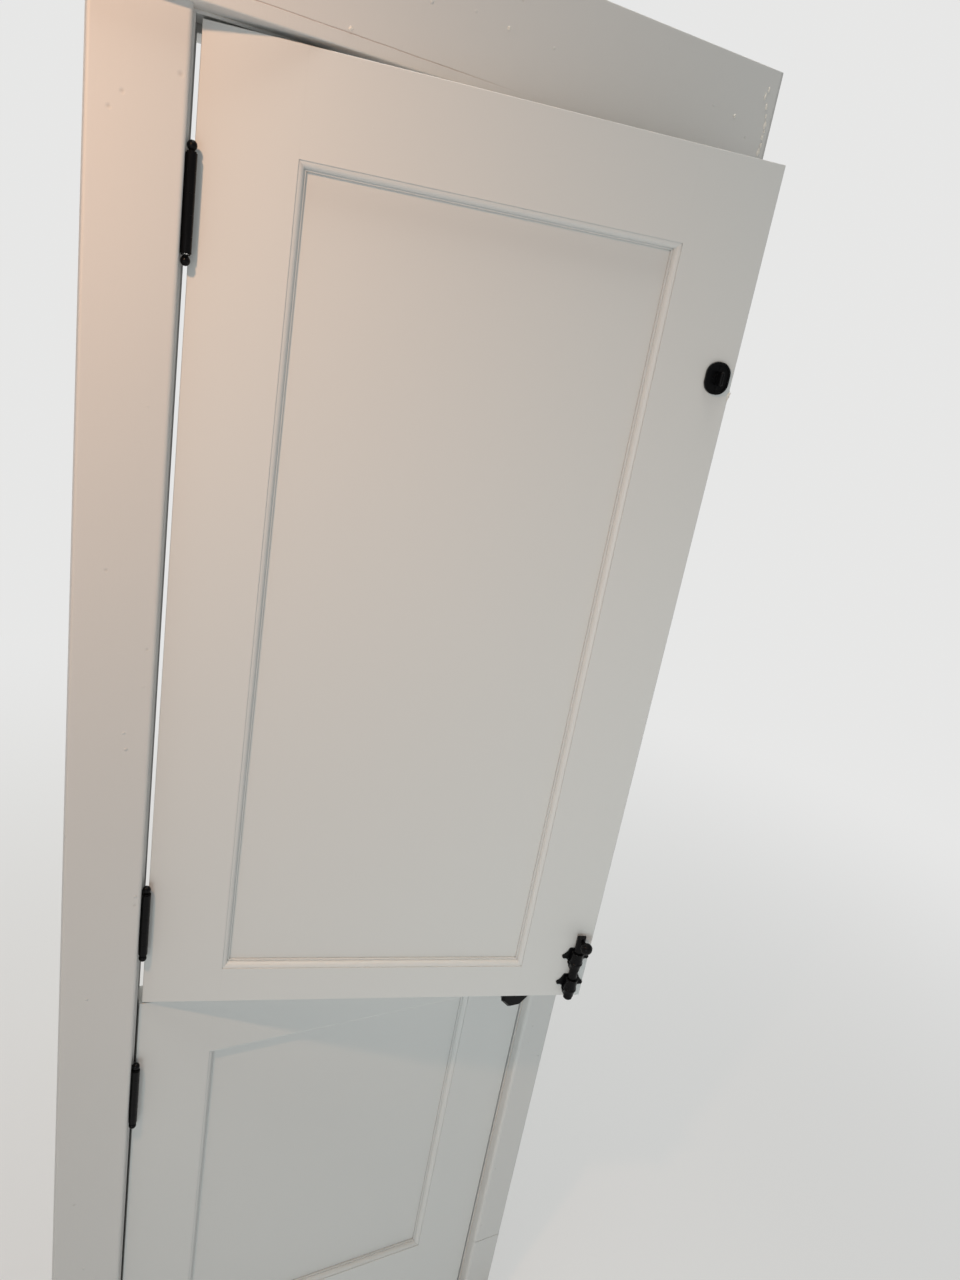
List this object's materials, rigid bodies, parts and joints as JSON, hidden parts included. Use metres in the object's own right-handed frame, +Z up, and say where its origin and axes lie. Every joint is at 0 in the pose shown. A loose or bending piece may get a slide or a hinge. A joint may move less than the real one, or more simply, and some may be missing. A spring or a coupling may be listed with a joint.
{
  "type": "stable door",
  "caption": "Painted stable door: an upper and a lower panelled leaf hung on ball-tip butt hinges in a cased frame, with a surface bolt, a thumb-turn and octagonal knobs.",
  "frame": {"origin": "foot of the hinge jamb, on its outer face, level with the front edge of the jamb, where the wall's front face is", "axes": "+X from the hinge side to the latch side, +Y into the wall, +Z up"},
  "size_m": [0.765, 0.2964, 2.169],
  "materials": {
    "frame_paint": "satin white paint",
    "leaf_paint": "satin white paint",
    "black_iron": "glossy black lacquer",
    "black_gloss": "deep gloss black",
    "latch_steel": "dull plated steel"
  },
  "bodies": {
    "frame": {"hinge_jamb": "frame_paint", "strike_jamb": "frame_paint", "head_jamb": "frame_paint", "hinge_stop": "frame_paint", "strike_stop": "frame_paint", "head_stop": "frame_paint", "left_casing": "frame_paint", "head_casing": "frame_paint", "right_casing": "frame_paint", "right_casing_foot": "frame_paint", "hinge_1_frame_plate": "black_iron", "hinge_2_frame_plate": "black_iron", "hinge_3_frame_plate": "black_iron", "hinge_4_frame_plate": "black_iron", "hinge_1_pin": "black_iron", "hinge_2_pin": "black_iron", "hinge_3_pin": "black_iron", "hinge_4_pin": "black_iron", "hinge_lower_tips": "black_iron", "frame_hinge_screws": "black_iron", "latch_strike": "black_iron", "edge_bolt_strike": "black_iron", "strike_screws": "black_iron"},
    "upper_leaf": {"upper_hinge_stile": "leaf_paint", "upper_latch_stile": "leaf_paint", "upper_top_rail": "leaf_paint", "upper_bottom_rail": "leaf_paint", "upper_panel": "leaf_paint", "hinge_1_leaf_plate": "black_iron", "hinge_2_leaf_plate": "black_iron", "upper_hinge_screws": "black_iron", "bolt_lower_bracket": "black_iron", "bolt_upper_bracket": "black_iron", "bolt_bracket_screws": "black_iron", "turn_plate": "black_iron", "turn_plate_screws": "black_iron", "edge_bolt_case": "latch_steel"},
    "lower_leaf": {"lower_hinge_stile": "leaf_paint", "lower_latch_stile": "leaf_paint", "lower_top_rail": "leaf_paint", "lower_bottom_rail": "leaf_paint", "lower_panel": "leaf_paint", "hinge_3_leaf_plate": "black_iron", "hinge_4_leaf_plate": "black_iron", "lower_hinge_screws": "black_iron", "bolt_keeper": "black_iron", "bolt_keeper_screws": "black_iron", "latch_case": "latch_steel", "latch_face_screws": "latch_steel", "front_rosette": "black_iron", "back_rosette": "black_iron"},
    "bolt": {"bolt_rod": "black_iron", "bolt_knob": "black_iron"},
    "turn": {"turn_piece": "black_iron"},
    "edge_bolt": {"edge_bolt": "latch_steel"},
    "knob": {"front_knob": "black_gloss", "back_knob": "black_gloss", "knob_spindle": "latch_steel", "latch_hub": "latch_steel"},
    "tongue": {"latch_tongue": "latch_steel"}
  },
  "joints": [
    {"name": "upper_leaf_swing", "type": "hinge", "parent": "frame", "child": "upper_leaf", "pos_m": [0.0205, -0.0105, 1.486], "axis": [0, 0, -1], "range_deg": [-14.5, 150.5]},
    {"name": "lower_leaf_swing", "type": "hinge", "parent": "frame", "child": "lower_leaf", "pos_m": [0.0205, -0.0105, 0.4685], "axis": [0, 0, -1], "range_deg": [0, 165]},
    {"name": "bolt_slide", "type": "slide", "parent": "upper_leaf", "child": "bolt", "axis": [0, 0, -1], "range_m": [0, 0.0142]},
    {"name": "turn_piece_turn", "type": "hinge", "parent": "upper_leaf", "child": "turn", "pos_m": [0.5953, -0.14831, 1.8145], "axis": [-0.2504, -0.9681, 0], "range_deg": [0, 90]},
    {"name": "edge_bolt_slide", "type": "slide", "parent": "upper_leaf", "child": "edge_bolt", "axis": [0.9681, -0.2504, 0], "range_m": [0, 0.012]},
    {"name": "knob_turn", "type": "hinge", "parent": "lower_leaf", "child": "knob", "pos_m": [0.5705, 0.0175, 0.8676], "axis": [0, -1, 0], "range_deg": [0, 45]},
    {"name": "tongue_slide", "type": "slide", "parent": "lower_leaf", "child": "tongue", "axis": [1, 0, 0], "range_m": [0, 0.011]}
  ],
  "couplings": [
    {"joint": "edge_bolt_slide", "follows": "turn_piece_turn", "m_per_rad": 0.0076394},
    {"joint": "tongue_slide", "follows": "knob_turn", "m_per_rad": 0.014006}
  ]
}
